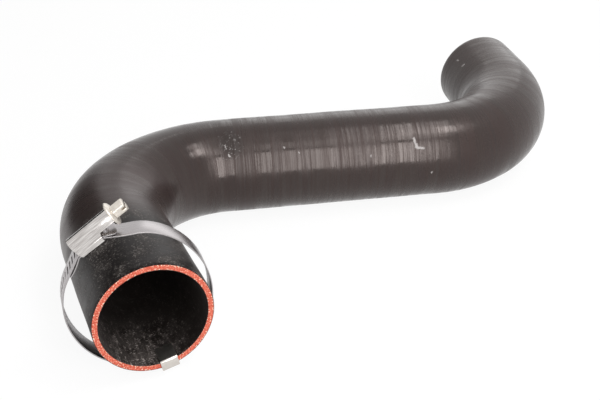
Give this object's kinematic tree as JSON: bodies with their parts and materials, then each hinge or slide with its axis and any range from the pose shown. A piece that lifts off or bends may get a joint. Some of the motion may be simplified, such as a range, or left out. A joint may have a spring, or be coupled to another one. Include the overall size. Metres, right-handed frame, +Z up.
{
  "type": "charge air hose",
  "caption": "Moulded S-shaped rubber charge air hose with plain cut mouths, a red wall section, and a worm-drive clamp hanging open on one mouth from a folded spring clip.",
  "frame": {"origin": "centre of the bottom of the box round the whole object, which rests on the floor", "axes": "+X along the hose's middle run, towards the bend without the clamp; the leg with the clamp comes towards -Y; +Z up"},
  "size_m": [0.3836, 0.316, 0.1073],
  "materials": {
    "hose": "moulded fabric-reinforced rubber, satin black",
    "clamp_band": "rolled stainless strip",
    "clamp_housing": "folded and rolled sheet, bright plated",
    "clamp_screw": "cold-headed steel, warm zinc plate",
    "locator_clip": "folded spring strip"
  },
  "bodies": {
    "hose_and_clamp": {"hose": "hose", "clamp_band": "clamp_band", "clamp_housing": "clamp_housing", "locator_clip": "locator_clip"},
    "screw": {"clamp_screw": "clamp_screw"}
  },
  "joints": [
    {"name": "screw_turn", "type": "hinge", "parent": "hose_and_clamp", "child": "screw", "pos_m": [-0.16647, -0.1391, 0.08872], "axis": [0.8125, 0.124, 0.5696], "continuous": true}
  ]
}
